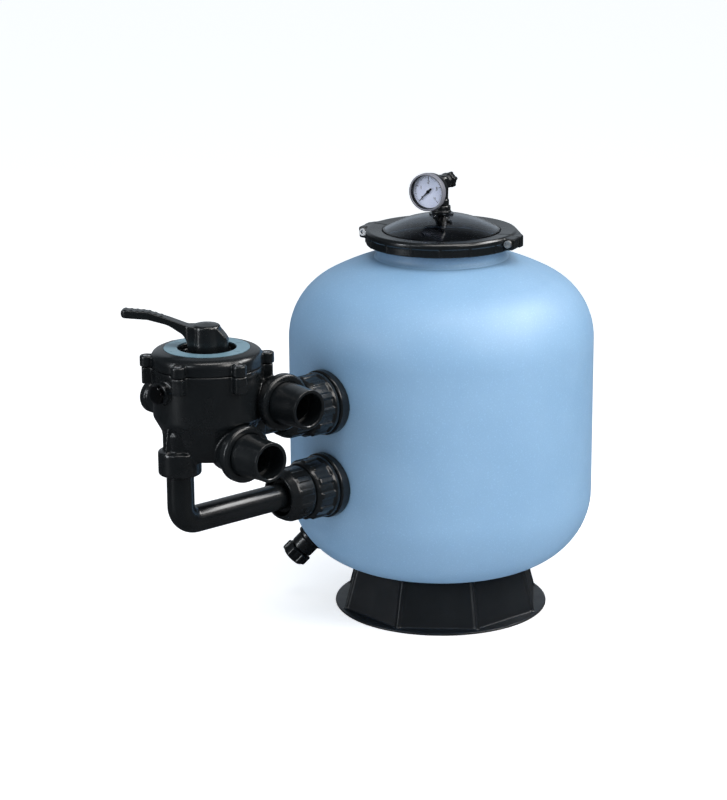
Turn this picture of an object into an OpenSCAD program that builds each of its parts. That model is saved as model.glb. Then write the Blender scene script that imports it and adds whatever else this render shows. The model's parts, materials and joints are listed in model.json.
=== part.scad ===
// Side-mount sand filter for pools: a blow-moulded tank on a skirted foot, closed by a clear lid
// and a two-part clamp, with a multiport valve held on two tank connectors.
// Origin: centre of the foot on the floor. +Z is up. The valve stands towards -X and its two
// open pipe sockets face -Y.

/* [Tank] */
// Outside radius of the tank's straight wall
tank_r = 250; // [250:1:252]
// Wall thickness of the tank
tank_wall = 7; // [6:0.5:8]
// Height of the lower end of the straight wall
wall_low_z = 201; // [200:1:201]
// Height of the upper end of the straight wall
wall_high_z = 460; // [459:1:461]

/* [Foot] */
// Radius of the round flange on the floor
foot_r = 177.5; // [176:0.5:190]
// Radius of the skirt's corners at the floor
skirt_low_r = 170; // [160:1:171]
// Radius of the skirt's corners where they meet the tank
skirt_high_r = 148; // [144:1:150]
// Wall thickness of the skirt
skirt_wall = 5; // [3:0.5:6]

/* [Lid and clamp] */
// Height of the joint between tank neck and lid
lid_joint_z = 624; // [622:1:626]
// Outside radius of the clamp ring
clamp_r = 124; // [122:0.5:126]
// Direction of the clamp's right-hand lug, in degrees from +X
clamp_turn = -66; // [-90:1:0]

/* [Gauge and vent] */
// Height of the gauge's centre line
gauge_z = 707; // [704:1:712]
// Direction that the gauge faces, in degrees from +X
gauge_turn = 202; // [0:1:359]
// Radius of the gauge's bezel
gauge_r = 30.5; // [28.5:0.5:31]
// Height of the vent's axis above the gauge's axis
vent_rise = 6; // [6:0.5:7]

/* [Tank connectors] */
// Height of the upper connector
upper_z = 393; // [391:1:395]
// Height of the lower connector
lower_z = 256; // [255:1:262]

/* [Valve] */
// Distance from the tank's axis to the valve's axis
valve_reach = 485; // [484:1:488]
// Outside radius of the valve body
valve_r = 84; // [84:0.5:85]
// Direction of the first cover screw, in degrees from +X
lug_turn = 24; // [18:1:30]
// Direction that the handle points, in degrees from +X
handle_turn = 137; // [0:1:359]
// Radius of the standard pipe that fits the valve's open sockets
pipe_r = 25; // [24.5:0.1:25]
// Outside radius of the pipe between the valve and the lower connector
manifold_r = 21; // [20.8:0.2:22]

/* [Drain] */
// Direction of the drain, in degrees from +X
drain_turn = 137; // [120:1:150]
// Slope of the drain's axis below the horizontal
drain_drop = 46.5; // [44:0.5:48]

/* [Hidden] */

$fn = 96;
// Gap left between pieces that touch, and between pieces that turn or slide
gap = 0.3;
// Overlap given to a cutting shape so that it passes through a face
cut = 1;

black = [0.06, 0.065, 0.07];
rubber = [0.03, 0.03, 0.03];
steel = [0.75, 0.76, 0.78];
brass = [0.78, 0.62, 0.30];

// ---- Shared profile helpers ----

function unit(v) = v / norm(v);

// Points of an arc of radius r about (x, z), from angle a0 to a1
function arc(x, z, r, a0, a1, n) =
    [for (i = [0:n]) [x + r * cos(a0 + (a1 - a0) * i / n), z + r * sin(a0 + (a1 - a0) * i / n)]];

// Points that replace corner b of the path a-b-c with an arc of radius r
function fillet(a, b, c, r, n) =
    let (u = unit(a - b), v = unit(c - b), half = acos(u * v) / 2)
    let (centre = b + unit(u + v) * (r / sin(half)))
    let (p = b + u * (r / tan(half)) - centre, q = b + v * (r / tan(half)) - centre)
    let (a0 = atan2(p.y, p.x), sweep = (atan2(q.y, q.x) - a0 + 540) % 360 - 180)
    arc(centre.x, centre.y, r, a0, a0 + sweep, n);

function flat2(p) = [p[0], p[1]];

// A closed outline from points [x, y, corner radius]
function rounded(pts, n = 4) =
    let (m = len(pts))
    [for (i = [0:m - 1])
        let (a = flat2(pts[(i + m - 1) % m]), b = flat2(pts[i]), c = flat2(pts[(i + 1) % m]))
        each pts[i][2] == 0 ? [b] : fillet(a, b, c, pts[i][2], n)];

module lathe(pts, n = 4) rotate_extrude() polygon(rounded(pts, n));

module ring(r_out, r_in, z0, z1)
    translate([0, 0, z0])
        difference() {
            cylinder(r = r_out, h = z1 - z0);
            translate([0, 0, -cut]) cylinder(r = r_in, h = z1 - z0 + 2 * cut);
        }

module o_ring(ring_r, wire_r, z)
    color(rubber)
        translate([0, 0, z])
            rotate_extrude() translate([ring_r, 0]) circle(r = wire_r, $fn = 24);

// A screw shank with a domed hexagon-socket head below or above it, pointing along +Z
module cap_screw(shank_r, shank_h, head_r, head_h)
    difference() {
        union() {
            cylinder(r = shank_r, h = shank_h + cut, $fn = 32);
            translate([0, 0, shank_h]) cylinder(r = head_r, h = head_h, $fn = 32);
        }
        translate([0, 0, shank_h + head_h / 2]) cylinder(r = head_r * 0.55, h = head_h, $fn = 6);
    }

module hex_nut(across_r, h, hole_r)
    difference() {
        cylinder(r = across_r, h = h, $fn = 6);
        translate([0, 0, -cut]) cylinder(r = hole_r, h = h + 2 * cut, $fn = 32);
    }

// ---- Frames of the sub-assemblies: each one's +Z is its own axis ----

module connector_frame(z) translate([0, 0, z]) rotate([0, -90, 0]) children();

module both_connectors() {
    connector_frame(upper_z) children();
    connector_frame(lower_z) children();
}

module clamp_frame() rotate([0, 0, clamp_turn]) children();

module gauge_frame() translate([0, 0, gauge_z]) rotate([0, 0, gauge_turn]) rotate([0, 90, 0]) children();

module vent_frame()
    translate([0, 0, gauge_z + vent_rise]) rotate([0, 0, gauge_turn + 180]) rotate([0, 90, 0]) children();

// The drain's +Z starts at the centre of the tank's lower corner radius
low_corner_r = 120;
module drain_frame()
    rotate([0, 0, drain_turn])
        translate([tank_r - low_corner_r, 0, wall_low_z])
            rotate([0, 90 + drain_drop, 0])
                children();

module valve_frame() translate([-valve_reach, 0, 0]) children();

module handle_frame() valve_frame() rotate([0, 0, handle_turn]) children();

// ---- Tank and foot ----

low_crown_r = 500;
high_corner_r = 115;
high_crown_r = 405;
// Heights of the centres of the two crown spheres
low_crown_z = wall_low_z + sqrt(pow(low_crown_r - low_corner_r, 2) - pow(tank_r - low_corner_r, 2));
high_crown_z = wall_high_z - sqrt(pow(high_crown_r - high_corner_r, 2) - pow(tank_r - high_corner_r, 2));
neck_r = 105;
neck_bore_r = 86;
neck_flange_r = 114;
neck_flange_h = 7;

// Half section of a dished end that closes a wall at height z0; side is 1 for a top, -1 for a bottom
module end_section(z0, side, crown_z, crown_r, corner_r, t) {
    corner_x = tank_r - corner_r;
    lean = asin(corner_x / (crown_r - corner_r));
    translate([corner_x, z0]) circle(r = corner_r - t, $fn = 180);
    intersection() {
        translate([0, crown_z]) circle(r = crown_r - t, $fn = 360);
        polygon([[0, crown_z], [0, crown_z + side * crown_r * 2],
            [tan(lean) * crown_r * 2, crown_z + side * crown_r * 2]]);
    }
}

module tank_section(t)
    intersection() {
        union() {
            end_section(wall_high_z, 1, high_crown_z, high_crown_r, high_corner_r, t);
            end_section(wall_low_z, -1, low_crown_z, low_crown_r, low_corner_r, t);
            translate([0, wall_low_z]) square([tank_r - t, wall_high_z - wall_low_z]);
        }
        square([tank_r, lid_joint_z]);
    }

neck_foot_z = high_crown_z + sqrt(pow(high_crown_r, 2) - pow(neck_r, 2));
groove_r = 103;
groove_h = 4.2;
hole_gap = 0.5;

module tank_shell() color([0.56, 0.70, 0.87])
    difference() {
        tank_outside();
        rotate_extrude($fn = 240) tank_section(tank_wall);
        cylinder(r = neck_bore_r, h = 900);
        ring(groove_r + 2.5, groove_r - 2.5, lid_joint_z - groove_h, lid_joint_z + cut);
        both_connectors() translate([0, 0, tank_r - 30]) cylinder(r = barrel_r + hole_gap, h = 60);
        drain_frame() translate([0, 0, low_corner_r - 20]) cylinder(r = drain_barrel_r + hole_gap, h = 40);
    }

module tank_outside()
    rotate_extrude($fn = 240) {
        tank_section(0);
        polygon(rounded([[0, neck_foot_z - 20, 0], [neck_r + 10, neck_foot_z - 7, 0],
            [neck_r, neck_foot_z + 4, 8], [neck_r, lid_joint_z - neck_flange_h, 0],
            [neck_flange_r, lid_joint_z - neck_flange_h, 1.5], [neck_flange_r, lid_joint_z, 1],
            [0, lid_joint_z, 0]]));
    }

skirt_sides = 8;
skirt_h = 96;

flat_ratio = cos(180 / skirt_sides);
bead_r = 3.6;

// Corner radius of the skirt at height z
function skirt_r(z) = skirt_low_r + (skirt_high_r - skirt_low_r) * z / 80;

// The skirt's eight-sided outline, moved in by t: a cylinder cut by eight leaning planes
module skirt_solid(t, z0)
    difference() {
        translate([0, 0, z0]) cylinder(r = skirt_low_r + 5, h = skirt_h - z0);
        for (i = [0:skirt_sides - 1]) rotate([0, 0, i * 360 / skirt_sides])
            translate([skirt_low_r * flat_ratio - t, 0, 0])
                rotate([0, -skirt_lean, 0])
                    translate([0, -skirt_low_r, -50]) cube([80, 2 * skirt_low_r, skirt_h + 90]);
    }

skirt_lean = atan2((skirt_low_r - skirt_high_r) * flat_ratio, 80);

module foot_base() color(black)
    difference() {
        union() {
            difference() {
                skirt_solid(0, 0);
                skirt_solid(skirt_wall, -cut);
            }
            lathe([[148, 0, 0], [foot_r, 0, 1], [foot_r, 4, 1.8], [148, 5, 0]]);
            for (i = [0:skirt_sides - 1]) rotate([0, 0, 45 * (i + 0.5)]) skirt_ridge();
        }
        translate([0, 0, low_crown_z]) sphere(r = low_crown_r + gap, $fn = 360);
    }

// The raised bead that runs up one corner of the skirt
module skirt_ridge()
    translate([skirt_r(2.5) - 1, 0, 2.5])
        rotate([0, -atan2(skirt_low_r - skirt_high_r, 80), 0])
            cylinder(r = bead_r, h = skirt_h - 8, $fn = 32);

// ---- Lid and clamp ----

lid_flange_z = lid_joint_z + 0.4;
lid_flange_h = 6.6;
lid_flange_r = 113.5;
dome_r = 95;
dome_low_z = lid_joint_z + 13;
dome_top_z = lid_joint_z + 39;
dome_wall = 5;
dome_sphere_r = (dome_r * dome_r + pow(dome_top_z - dome_low_z, 2)) / (2 * (dome_top_z - dome_low_z));
lid_boss_r = 20;
lid_boss_low_z = dome_top_z - 8;
lid_boss_high_z = dome_top_z + 1.5;
stem_r = 8;

module dome_section(t)
    intersection() {
        translate([0, dome_top_z - dome_sphere_r]) circle(r = dome_sphere_r - t, $fn = 360);
        translate([0, lid_flange_z - cut]) square([dome_r - t, 60]);
    }

module lid_dome() color([0.75, 0.82, 0.86, 0.45])
    rotate_extrude()
        difference() {
            union() {
                difference() {
                    union() {
                        dome_section(0);
                        polygon(rounded([[80, lid_flange_z, 0], [lid_flange_r, lid_flange_z, 0.6],
                            [lid_flange_r, lid_flange_z + lid_flange_h, 1],
                            [80, lid_flange_z + lid_flange_h, 0]]));
                    }
                    dome_section(dome_wall);
                }
                translate([0, lid_boss_low_z]) square([lid_boss_r, lid_boss_high_z - lid_boss_low_z]);
            }
            translate([0, lid_flange_z - 10]) square([dome_r + 10, 10]);
            translate([0, lid_flange_z - 10]) square([stem_r + gap, 100]);
        }

module lid_o_ring() o_ring(groove_r, 2.1, lid_joint_z - groove_h + 2.15);

clamp_low_z = lid_joint_z - 10;
clamp_high_z = lid_joint_z + 14;
lip_low_z = lid_joint_z - neck_flange_h - gap;
lip_high_z = lid_flange_z + lid_flange_h + gap;
lug_x = 127;
lug_out = 137;
lug_len = 24;
web_len = 15;
split_gap = 1.2;
clamp_bolt_r = 3;
clamp_bolt_z = lid_joint_z + 3.5;
clamp_seat_r = 7;
clamp_rib_pitch = 22.5;

module clamp_ring() {
    lathe([[dome_r + 1.5, lip_high_z, 0], [dome_r + 1.5, clamp_high_z - 1.6, 0.8],
        [clamp_r - 3.5, clamp_high_z, 3], [clamp_r, clamp_high_z - 4, 2], [clamp_r, clamp_low_z, 2],
        [neck_r + 1.5, clamp_low_z, 1], [neck_r + 1.5, lip_low_z, 0], [neck_flange_r + 1.5, lip_low_z, 0],
        [neck_flange_r + 1.5, lip_high_z, 0]]);
}

// Shallow panels between the ribs round the clamp's side
module clamp_panels()
    difference() {
        ring(clamp_r + 4, clamp_r - 1.6, clamp_low_z - cut, clamp_high_z - 10);
        for (i = [0:15]) rotate([0, 0, i * clamp_rib_pitch])
            translate([clamp_r - 10, -2, clamp_low_z - 2 * cut]) cube([20, 4, 30]);
    }

module clamp_lug()
    translate([0, -split_gap / 2 - lug_len, 0])
        rotate([-90, 0, 0])
            linear_extrude(height = lug_len)
                polygon(rounded([[neck_flange_r + 2, -clamp_low_z - 1.5, 0],
                    [lug_out - 2, -clamp_low_z - 3, 3], [lug_out, -clamp_high_z + 3, 3],
                    [neck_flange_r + 2, -clamp_high_z + 1.5, 0]]));

// The rear half's lug: a web that runs from the lug's tip along a tangent to the ring
web_angle = atan2(web_len, lug_out) + acos(clamp_r / norm([lug_out, web_len]));
module clamp_web()
    translate([0, 0, clamp_low_z + 3])
        difference() {
            linear_extrude(height = clamp_high_z - clamp_low_z - 6)
                polygon([[neck_flange_r + 2, split_gap / 2], [lug_out, split_gap / 2], [lug_out, web_len],
                    clamp_r * [cos(web_angle), sin(web_angle)],
                    (neck_flange_r + 3) * [cos(web_angle), sin(web_angle)]]);
            translate([0, 0, -cut]) cylinder(r = neck_flange_r + 2, h = 40);
        }

// How far behind the split the clamp's nuts sit
nut_seat = web_len - 5;

// One half of the clamp: side is -1 for the half with the screw heads, 1 for the half with the nuts
module clamp_half(side)
    clamp_frame()
        difference() {
            union() {
                difference() {
                    clamp_ring();
                    clamp_panels();
                    translate([-200, side > 0 ? split_gap / 2 - 400 : -split_gap / 2, 0])
                        cube([400, 400, 700]);
                }
                for (turn = [0, 1]) mirror([turn, 0, 0]) if (side < 0) clamp_lug(); else clamp_web();
            }
            for (x = [-lug_x, lug_x]) translate([x, 0, clamp_bolt_z]) rotate([90, 0, 0])
                cylinder(r = clamp_bolt_r + gap, h = 4 * lug_len, center = true, $fn = 32);
            // Seats for the nuts behind the rear half and for the screw heads before the front half
            for (x = [-lug_x, lug_x]) translate([x, 0, clamp_bolt_z])
                rotate([side > 0 ? -90 : 90, 0, 0])
                    translate([0, 0, side > 0 ? nut_seat : split_gap / 2 + lug_len])
                        cylinder(r = clamp_seat_r, h = 40, $fn = 32);
        }

module clamp_front() color(black) clamp_half(-1);
module clamp_rear() color(black) clamp_half(1);

bolt_seat = split_gap / 2 + lug_len + gap;
bolt_tail = web_len + 5;

module clamp_screws() color(steel)
    clamp_frame()
        for (x = [-lug_x, lug_x]) translate([x, bolt_tail, clamp_bolt_z]) rotate([90, 0, 0])
            cap_screw(clamp_bolt_r, bolt_seat + bolt_tail, 6, 6);

module clamp_nuts() color(steel)
    clamp_frame()
        for (x = [-lug_x, lug_x]) translate([x, nut_seat + 5.2, clamp_bolt_z]) rotate([90, 0, 0])
            hex_nut(6, 5, clamp_bolt_r + 0.15);

// ---- Gauge, tee and vent ----

tee_low_z = lid_boss_high_z + 13;
tee_r = 11.5;
tee_bore_r = 4;
tee_front = 24;
tee_back = 21;

module lid_stem() color(black)
    difference() {
        union() {
            lathe([[0, lid_boss_low_z - 6, 0], [17, lid_boss_low_z - 6, 1], [17, lid_boss_low_z - gap, 0.5],
                [0, lid_boss_low_z - gap, 0]]);
            translate([0, 0, lid_boss_low_z - 3]) cylinder(r = stem_r, h = tee_low_z + 14 - lid_boss_low_z);
        }
        ring(14.9, 12.1, lid_boss_low_z - 2.6, lid_boss_low_z + 2);
        translate([0, 0, lid_boss_low_z - 10]) cylinder(r = tee_bore_r, h = 80);
    }

module lid_stem_o_ring() o_ring(13.5, 1.25, lid_boss_low_z - 1.3);

module gauge_lock_nut() color(black)
    difference() {
        union() {
            lathe([[0, lid_boss_high_z + gap, 0], [16, lid_boss_high_z + gap, 0.8],
                [16, lid_boss_high_z + 3.5, 0.8], [14, lid_boss_high_z + 4, 0],
                [14, tee_low_z - gap, 1.5], [0, tee_low_z - gap, 0]]);
            for (i = [0:11]) rotate([0, 0, i * 30]) translate([13.6, 0, lid_boss_high_z + 2])
                cylinder(r = 1.8, h = 9, $fn = 24);
        }
        cylinder(r = stem_r + 0.2, h = 900);
    }

module gauge_tee() color(black)
    difference() {
        union() {
            lathe([[0, tee_low_z, 0], [tee_r + 1, tee_low_z, 1], [tee_r + 1, tee_low_z + 8, 1.2],
                [tee_r - 0.5, tee_low_z + 10, 0], [tee_r + 0.5, gauge_z + vent_rise + tee_r + 1, 7],
                [0, gauge_z + vent_rise + tee_r + 1.5, 0]]);
            gauge_frame() lathe([[0, 2, 0], [tee_r - 1, 2, 0], [tee_r - 1, tee_front - 8, 0],
                [tee_r + 0.5, tee_front - 7, 1], [tee_r + 0.5, tee_front, 1], [0, tee_front, 0]]);
            vent_frame() lathe([[0, 2, 0], [tee_r - 2, 2, 0], [tee_r - 2, tee_back - 7, 0],
                [tee_r - 0.5, tee_back - 6, 1], [tee_r - 0.5, tee_back, 1], [0, tee_back, 0]]);
        }
        translate([0, 0, tee_low_z - cut]) cylinder(r = stem_r + 0.2, h = 16);
        translate([0, 0, tee_low_z]) cylinder(r = tee_bore_r, h = gauge_z + vent_rise - tee_low_z);
        gauge_frame() cylinder(r = tee_bore_r - 1, h = 50);
        gauge_frame() translate([0, 0, 9]) cylinder(r = 6.7, h = 50);
        vent_frame() cylinder(r = tee_bore_r - 1, h = 50);
        vent_frame() translate([0, 0, 8]) cylinder(r = 6.3, h = 50);
    }

case_back = 32.5;
case_front = 57.5;
case_r = gauge_r - 2;
case_wall = 1.6;
dial_depth = 47.5;
lens_depth = 54.5;

module gauge_socket() color(brass)
    gauge_frame()
        difference() {
            union() {
                translate([0, 0, 9.5]) cylinder(r = 6.4, h = 15);
                translate([0, 0, tee_front + gap]) cylinder(r = 8.5, h = 6, $fn = 6);
                translate([0, 0, 28]) cylinder(r = 5, h = 12);
            }
            translate([0, 0, 5]) cylinder(r = 1.5, h = 32.5);
        }

module gauge_case() color(black)
    gauge_frame()
        difference() {
            lathe([[0, case_back, 0], [case_r, case_back, 4], [case_r, lens_depth, 0], [0, lens_depth, 0]]);
            translate([0, 0, case_back + 2]) cylinder(r = case_r - case_wall, h = 40);
            cylinder(r = 5.2, h = 40);
        }

module gauge_bezel() color(black)
    gauge_frame()
        lathe([[case_r + 0.2, lens_depth - 7, 0], [gauge_r, lens_depth - 7, 1],
            [gauge_r, case_front + 1, 1.6], [case_r - 1, case_front + 1, 0.8],
            [case_r - 1, case_front - 0.7, 0], [case_r + 0.2, case_front - 0.7, 0]]);

module gauge_lens() color([0.9, 0.95, 1, 0.3])
    gauge_frame()
        translate([0, 0, lens_depth + 0.2]) cylinder(r = case_r - 0.1, h = 1.8);

module gauge_dial() color([0.86, 0.87, 0.95])
    gauge_frame()
        ring(case_r - case_wall - gap, 1.6, dial_depth, dial_depth + 0.8);

// The needle points down and to the left of the dial at rest, which is its zero
needle_zero = -45;
module gauge_needle() color([0.1, 0.1, 0.12])
    gauge_frame() {
        translate([0, 0, dial_depth - 6]) cylinder(r = 1.2, h = 9.5, $fn = 32);
        translate([0, 0, dial_depth + 2.4]) cylinder(r = 2.6, h = 1.4, $fn = 32);
        rotate([0, 0, needle_zero])
            translate([0, 0, dial_depth + 2.6])
                linear_extrude(height = 0.8)
                    polygon([[-7.5, -1.6], [-7.5, 1.6], [17, 0.45], [20, 0], [17, -0.45]]);
    }

tube_depth = 37.5;
module bourdon_tube() color(brass)
    gauge_frame()
        union() {
            difference() {
                translate([0, 0, tube_depth]) rotate_extrude() translate([19, 0]) circle(r = 1.9, $fn = 24);
                linear_extrude(height = 60) polygon([[0, 0], [40, -22], [40, 22]]);
            }
            rotate([0, 0, 32]) translate([5.3, 0, tube_depth]) rotate([0, 90, 0])
                cylinder(r = 1.8, h = 13.5, $fn = 24);
        }

module gauge_movement() color(brass)
    gauge_frame()
        difference() {
            union() {
                for (z = [dial_depth - 7.2, dial_depth - 4]) translate([-9, -5, z]) cube([18, 10, 1]);
                for (x = [-7, 7]) translate([x, 0, dial_depth - 7]) cylinder(r = 1.2, h = 6.8, $fn = 24);
            }
            translate([0, 0, dial_depth - 6.1]) cylinder(r = 1.3, h = 40, $fn = 32);
        }

module vent_seal() color(rubber)
    vent_frame()
        ring(5.6, 2.5, 8.4, 10.6);

vent_knob_r = 12;
module vent_knob() color(black)
    vent_frame() {
        translate([0, 0, 10.9]) cylinder(r = 6, h = 12);
        lathe([[0, tee_back + 1, 0], [vent_knob_r, tee_back + 1, 1.2], [vent_knob_r, tee_back + 14, 4],
            [0, tee_back + 15.5, 0]]);
        for (i = [0:5]) rotate([0, 0, i * 60 + 15]) translate([vent_knob_r - 1.2, 0, tee_back + 1.6])
            lathe([[0, 0, 0], [3.2, 0, 1], [3.2, 12, 2.5], [0, 12.6, 0]]);
    }

// ---- Tank connectors and unions ----

barrel_r = 36;
barrel_bore_r = 23;
barrel_end = 318;
flange_r = 52.5;
flange_top = tank_r + 12;
inner_flange_low = 230;
inner_flange_high = 236;
tail_low = barrel_end + gap;
tail_flange_h = 6.5;
nut_low = 305.5;
nut_high = 350;
shoulder_z = tail_low + tail_flange_h + gap;

module tank_wall_cylinder(z, r) translate([0, 0, z - 100]) cylinder(r = r, h = 200, $fn = 240);

module bulkheads() color(black)
    both_connectors()
        difference() {
            union() {
                lathe([[0, inner_flange_low, 0], [48, inner_flange_low, 1], [48, inner_flange_high, 0.6],
                    [0, inner_flange_high, 0]]);
                translate([0, 0, inner_flange_high - 1])
                    cylinder(r = barrel_r, h = barrel_end - inner_flange_high + 1);
            }
            translate([0, 0, inner_flange_low - cut]) cylinder(r = barrel_bore_r, h = 100);
            ring(33.3, 28.7, barrel_end - 2.6, barrel_end + cut);
        }

module bulkhead_gaskets() color(rubber)
    for (z = [upper_z, lower_z])
        intersection() {
            connector_frame(z) ring(47.5, barrel_r + gap, inner_flange_high + 0.2, tank_r);
            tank_wall_cylinder(z, tank_r - tank_wall - 0.2);
        }

// Saddle flanges: flat outside, and curved underneath to sit on the tank's round wall
module flange_washers() color(black)
    for (z = [upper_z, lower_z])
        difference() {
            connector_frame(z) lathe([[0, tank_r - 15, 0], [flange_r, tank_r - 15, 0],
                [flange_r, flange_top, 3], [0, flange_top, 0]]);
            connector_frame(z) cylinder(r = barrel_r + gap, h = 400);
            tank_wall_cylinder(z, tank_r + 0.2);
        }

lock_ribs = 12;
module lock_nuts() color(black)
    both_connectors()
        difference() {
            union() {
                lathe([[0, flange_top + gap, 0], [50, flange_top + gap, 2], [50, flange_top + 8, 2],
                    [47, flange_top + 11, 2], [46.5, nut_low - 5, 2], [44, nut_low - gap, 1],
                    [0, nut_low - gap, 0]]);
                for (i = [0:lock_ribs - 1]) rotate([0, 0, i * 360 / lock_ribs])
                    nut_rib(45, 49, flange_top + 4, nut_low - 6, 9);
            }
            cylinder(r = barrel_r + 0.2, h = 400);
        }

// A broad rounded rib that runs along a nut's side
module nut_rib(r_in, r_out, z0, z1, w)
    translate([r_in - 6, 0, (z0 + z1) / 2])
        rotate([90, 0, 0])
            translate([0, 0, -w / 2])
                linear_extrude(height = w)
                    polygon(rounded([[0, -(z1 - z0) / 2, 0], [r_out - r_in + 6, -(z1 - z0) / 2, 3],
                        [r_out - r_in + 6, (z1 - z0) / 2, 3], [0, (z1 - z0) / 2, 0]]));

module union_o_rings()
    both_connectors() o_ring(31, 1.4, barrel_end - 1.15);

union_ribs = 12;
module union_nut() color(black)
    difference() {
        union() {
            lathe([[0, nut_low, 0], [42, nut_low, 1.5], [42, nut_high - 12, 5], [35.5, nut_high, 2],
                [0, nut_high, 0]]);
            for (i = [0:union_ribs - 1]) rotate([0, 0, (i + 0.5) * 360 / union_ribs])
                nut_rib(41, 43.2, nut_low + 4, nut_high - 13, 8);
        }
        translate([0, 0, nut_low - cut]) cylinder(r = barrel_r + 0.35, h = shoulder_z - nut_low + cut);
        cylinder(r = 29.3, h = 400);
        translate([0, 0, shoulder_z + 7]) cylinder(r = 31, h = 60);
    }

module upper_union_nut() connector_frame(upper_z) union_nut();
module lower_union_nut() connector_frame(lower_z) union_nut();

tail_r = 26.5;
top_port_end = 358;

module tail_flange() lathe([[0, tail_low, 0], [barrel_r - 0.2, tail_low, 0.6],
    [barrel_r - 0.2, tail_low + tail_flange_h, 0.6], [0, tail_low + tail_flange_h, 0]]);

module upper_union_tail() color(black)
    connector_frame(upper_z)
        difference() {
            union() {
                tail_flange();
                translate([0, 0, tail_low + 1]) cylinder(r = manifold_r, h = 78);
            }
            translate([0, 0, 300]) cylinder(r = pipe_bore_r, h = 150);
        }

module lower_union_tail() color(black)
    connector_frame(lower_z)
        difference() {
            union() {
                tail_flange();
                translate([0, 0, tail_low + 1]) cylinder(r = tail_r, h = 24);
            }
            translate([0, 0, 300]) cylinder(r = pipe_bore_r, h = 150);
            translate([0, 0, tail_low + 8]) cylinder(r = manifold_r + 0.1, h = 150);
        }

// ---- Pipe from the valve's bottom port to the lower connector ----

bottom_port_reach = 541.5;
bend_r = 27;
pipe_bore_r = 18.5;
pipe_top_z = 366;

module pipe_bend(r)
    translate([-bottom_port_reach + bend_r, 0, lower_z + bend_r])
        rotate([90, 0, 0])
            rotate([0, 0, 180])
                rotate_extrude(angle = 90) translate([bend_r, 0]) circle(r = r);

module pipe_run(r, extra) {
    connector_frame(lower_z) translate([0, 0, tail_low + 8.3 - extra])
        cylinder(r = r, h = bottom_port_reach - bend_r - tail_low - 8.3 + extra);
    translate([-bottom_port_reach, 0, lower_z + bend_r])
        cylinder(r = r, h = pipe_top_z - lower_z - bend_r + extra);
    pipe_bend(r);
}

module manifold_pipe() color(black)
    difference() {
        pipe_run(manifold_r, 0);
        pipe_run(pipe_bore_r, cut);
    }

// ---- Pipes and strainers inside the tank ----

inner_pipe_r = 22.5;
inner_bore_r = 19.5;
elbow_r = 27;
elbow_arm = 42;
elbow_socket = 19;
// Distance from an elbow's centre to the bottom of its sockets
elbow_stop = elbow_arm - elbow_socket - gap;
hub_low_z = 98;
lateral_z = 116;

module inner_pipes() color([0.85, 0.86, 0.84])
    both_connectors() ring(inner_pipe_r, inner_bore_r, elbow_arm - elbow_socket, 252);

// A socketed elbow from the connector's pipe to the tank's axis; side is 1 to turn up, -1 to turn down
module inner_elbow(z, side)
    difference() {
        union() {
            connector_frame(z) translate([0, 0, -1]) cylinder(r = elbow_r, h = elbow_arm + 1);
            translate([0, 0, z]) sphere(r = elbow_r + 1.5);
            translate([0, 0, side > 0 ? z : z - elbow_arm]) cylinder(r = elbow_r, h = elbow_arm);
        }
        translate([0, 0, z]) sphere(r = inner_bore_r + 0.5);
        connector_frame(z) cylinder(r = inner_bore_r - 1, h = 100);
        connector_frame(z) translate([0, 0, elbow_stop]) cylinder(r = inner_pipe_r + 0.2, h = 100);
        translate([0, 0, side > 0 ? z : z - 100]) cylinder(r = inner_bore_r - 1, h = 100);
        translate([0, 0, side > 0 ? z + elbow_stop : z - 100 - elbow_stop])
            cylinder(r = inner_pipe_r + 0.2, h = 100);
    }

module inner_elbows() color(black) {
    inner_elbow(upper_z, 1);
    inner_elbow(lower_z, -1);
}

diffuser_z = 552;
module top_diffuser() color([0.88, 0.88, 0.86])
    difference() {
        union() {
            translate([0, 0, upper_z + elbow_arm - elbow_socket])
                cylinder(r = inner_pipe_r, h = diffuser_z - upper_z - 20);
            lathe([[0, diffuser_z - 6, 0], [40, diffuser_z - 2, 1], [52, diffuser_z + 10, 2],
                [52, diffuser_z + 16, 2], [0, diffuser_z + 24, 0]]);
        }
        translate([0, 0, upper_z]) cylinder(r = inner_bore_r, h = diffuser_z - upper_z + 12);
        for (i = [0:7]) rotate([0, 0, i * 45]) translate([10, -3.5, diffuser_z + 3]) cube([60, 7, 6]);
    }

lateral_count = 8;
module lateral_hub() color([0.88, 0.88, 0.86])
    difference() {
        union() {
            translate([0, 0, lateral_z + 12])
                cylinder(r = inner_pipe_r, h = lower_z - elbow_arm + elbow_socket - lateral_z - 12);
            lathe([[0, hub_low_z, 0], [44, hub_low_z, 2], [44, lateral_z + 16, 3], [24, lateral_z + 24, 0],
                [0, lateral_z + 24, 0]]);
        }
        translate([0, 0, hub_low_z + 6]) cylinder(r = inner_bore_r, h = 200);
        for (i = [0:lateral_count - 1]) rotate([0, 0, (i + 0.5) * 360 / lateral_count])
            translate([15, 0, lateral_z]) rotate([0, 90, 0]) cylinder(r = 8.4, h = 60, $fn = 32);
    }

// Slotted strainer arms that plug into the hub
lateral_end = 168;
module laterals() color([0.88, 0.88, 0.86])
    for (i = [0:lateral_count - 1]) rotate([0, 0, (i + 0.5) * 360 / lateral_count])
        translate([0, 0, lateral_z])
            difference() {
                rotate([0, 90, 0]) union() {
                    translate([0, 0, 30]) cylinder(r = 8.1, h = 20, $fn = 32);
                    translate([0, 0, 44.5]) cylinder(r = 10, h = lateral_end - 44.5, $fn = 32);
                }
                translate([28, 0, 0]) rotate([0, 90, 0]) cylinder(r = 6.5, h = lateral_end - 34, $fn = 32);
                for (x = [56:12:152]) translate([x, -20, 4]) cube([1.2, 40, 10]);
            }

// ---- Drain ----

drain_barrel_r = 15;
drain_flange_r = 25;
drain_shoulder = low_corner_r + 31;
drain_top = low_corner_r + 45;

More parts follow.
